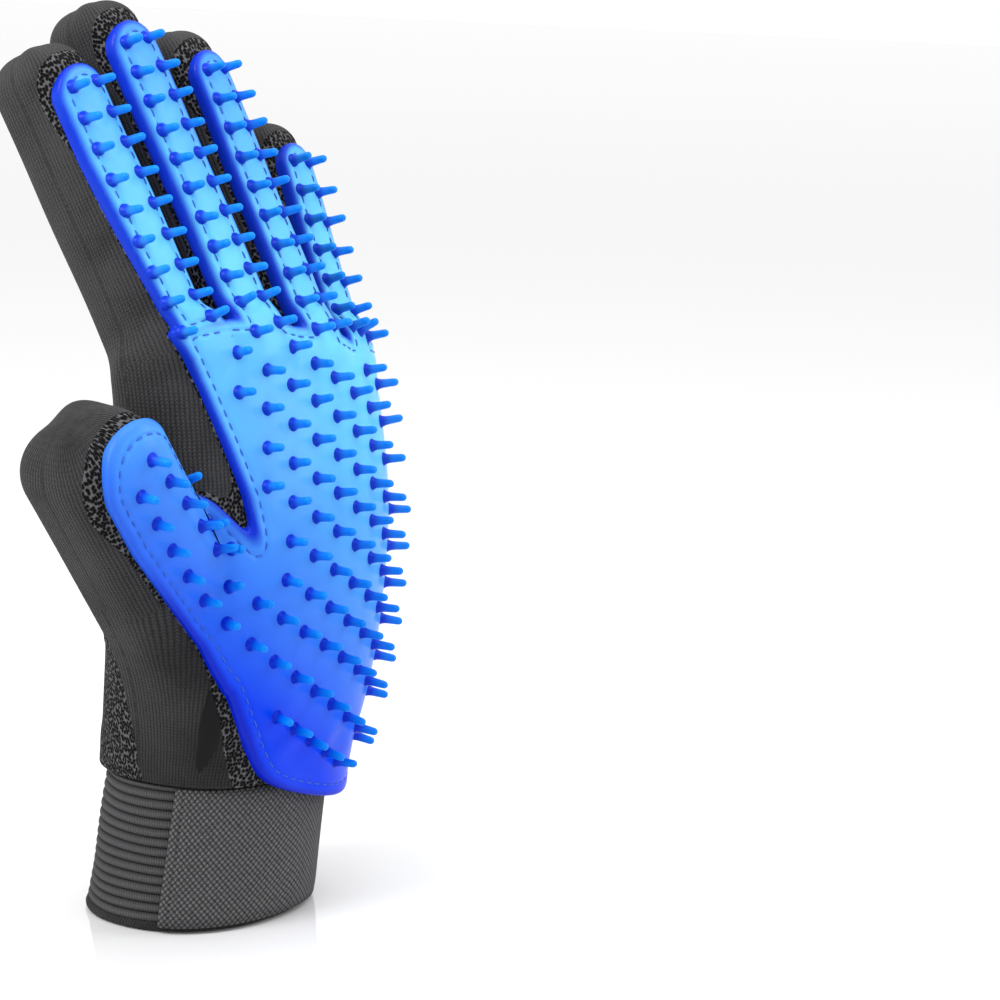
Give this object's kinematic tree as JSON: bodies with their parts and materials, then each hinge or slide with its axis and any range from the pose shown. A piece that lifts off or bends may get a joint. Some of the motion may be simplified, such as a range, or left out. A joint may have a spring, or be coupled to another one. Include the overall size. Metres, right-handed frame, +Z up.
{
  "type": "pet grooming glove",
  "caption": "Left-hand pet grooming glove: dark mesh and knit fabric with a ribbed cuff, and a blue rubber palm and finger pad covered in soft tips.",
  "frame": {"origin": "on the resting plane of the cuff rim, under the middle of the glove's bounding box", "axes": "+Z up along the glove from cuff to fingertips, -Y out of the palm side with the rubber tips, -X towards the thumb"},
  "size_m": [0.136, 0.0828, 0.2445],
  "materials": {
    "pad": "glossy azure moulding",
    "mesh": "open air mesh",
    "gusset": "brushed fine-rib knit",
    "elastic": "ribbed elastic",
    "strap": "woven loop tape",
    "hook": "hook tape",
    "dart": "smooth dark insert",
    "thread": "stitching thread",
    "hem": "turned hem"
  },
  "bodies": {
    "hand": {"palm_mesh_panel": "mesh", "back_mesh_panel": "mesh", "radial_gusset": "gusset", "ulnar_gusset": "gusset", "thumb_root_gusset": "gusset", "palm_pad": "pad", "palm_tips": "pad", "wrist_dart": "dart", "pad_stitching": "thread", "cuff_elastic": "elastic", "cuff_hem": "hem", "woven_strap": "strap", "loop_patch": "strap"},
    "tab": {"closure_tab": "strap", "hook_patch": "hook"},
    "index_lower": {"index_lower_palm_mesh": "mesh", "index_lower_back_mesh": "mesh", "index_lower_gusset_radial": "gusset", "index_lower_gusset_ulnar": "gusset", "index_lower_pad": "pad"},
    "index_upper": {"index_upper_palm_mesh": "mesh", "index_upper_back_mesh": "mesh", "index_upper_gusset": "gusset", "index_upper_pad": "pad"},
    "middle_lower": {"middle_lower_palm_mesh": "mesh", "middle_lower_back_mesh": "mesh", "middle_lower_gusset_radial": "gusset", "middle_lower_gusset_ulnar": "gusset", "middle_lower_pad": "pad"},
    "middle_upper": {"middle_upper_palm_mesh": "mesh", "middle_upper_back_mesh": "mesh", "middle_upper_gusset": "gusset", "middle_upper_pad": "pad"},
    "ring_lower": {"ring_lower_palm_mesh": "mesh", "ring_lower_back_mesh": "mesh", "ring_lower_gusset_radial": "gusset", "ring_lower_gusset_ulnar": "gusset", "ring_lower_pad": "pad"},
    "ring_upper": {"ring_upper_palm_mesh": "mesh", "ring_upper_back_mesh": "mesh", "ring_upper_gusset": "gusset", "ring_upper_pad": "pad"},
    "little_lower": {"little_lower_palm_mesh": "mesh", "little_lower_back_mesh": "mesh", "little_lower_gusset_radial": "gusset", "little_lower_gusset_ulnar": "gusset", "little_lower_pad": "pad"},
    "little_upper": {"little_upper_palm_mesh": "mesh", "little_upper_back_mesh": "mesh", "little_upper_gusset": "gusset", "little_upper_pad": "pad"},
    "thumb_lower": {"thumb_lower_palm_mesh": "mesh", "thumb_lower_back_mesh": "mesh", "thumb_lower_gusset_radial": "gusset", "thumb_lower_gusset_ulnar": "gusset", "thumb_lower_pad": "pad"},
    "thumb_upper": {"thumb_upper_palm_mesh": "mesh", "thumb_upper_back_mesh": "mesh", "thumb_upper_gusset": "gusset", "thumb_upper_pad": "pad"}
  },
  "joints": [
    {"name": "index_knuckle", "type": "hinge", "parent": "hand", "child": "index_lower", "pos_m": [-0.01801, -0.01163, 0.1584], "axis": [1, 0, 0], "range_deg": [0, 45]},
    {"name": "index_middle", "type": "hinge", "parent": "index_lower", "child": "index_upper", "pos_m": [-0.02277, 0.00666, 0.19589], "axis": [1, 0, 0], "range_deg": [0, 50]},
    {"name": "middle_knuckle", "type": "hinge", "parent": "hand", "child": "middle_lower", "pos_m": [0.00457, -0.01575, 0.16041], "axis": [1, 0, 0], "range_deg": [0, 45]},
    {"name": "middle_middle", "type": "hinge", "parent": "middle_lower", "child": "middle_upper", "pos_m": [-0.00024, 0.00275, 0.19835], "axis": [1, 0, 0], "range_deg": [0, 50]},
    {"name": "ring_knuckle", "type": "hinge", "parent": "hand", "child": "ring_lower", "pos_m": [0.02644, -0.01573, 0.1604], "axis": [1, 0, 0], "range_deg": [0, 45]},
    {"name": "ring_middle", "type": "hinge", "parent": "ring_lower", "child": "ring_upper", "pos_m": [0.02378, 0.00093, 0.19456], "axis": [1, 0, 0], "range_deg": [0, 50]},
    {"name": "little_knuckle", "type": "hinge", "parent": "hand", "child": "little_lower", "pos_m": [0.0482, -0.0092, 0.15721], "axis": [1, 0, 0], "range_deg": [0, 45]},
    {"name": "little_middle", "type": "hinge", "parent": "little_lower", "child": "little_upper", "pos_m": [0.05108, 0.00277, 0.18176], "axis": [1, 0, 0], "range_deg": [0, 50]},
    {"name": "thumb_base", "type": "hinge", "parent": "hand", "child": "thumb_lower", "pos_m": [-0.02913, -0.0217, 0.09661], "axis": [0.8011, -0.1392, 0.5821], "range_deg": [0, 18]},
    {"name": "thumb_tip", "type": "hinge", "parent": "thumb_lower", "child": "thumb_upper", "pos_m": [-0.04853, -0.0217, 0.12331], "axis": [0.8011, -0.1392, 0.5821], "range_deg": [0, 35]},
    {"name": "tab_hinge", "type": "hinge", "parent": "hand", "child": "tab", "pos_m": [-0.00588, -0.02246, 0], "axis": [0.0828, -0.0627, 0.9946], "range_deg": [0, 95]}
  ]
}
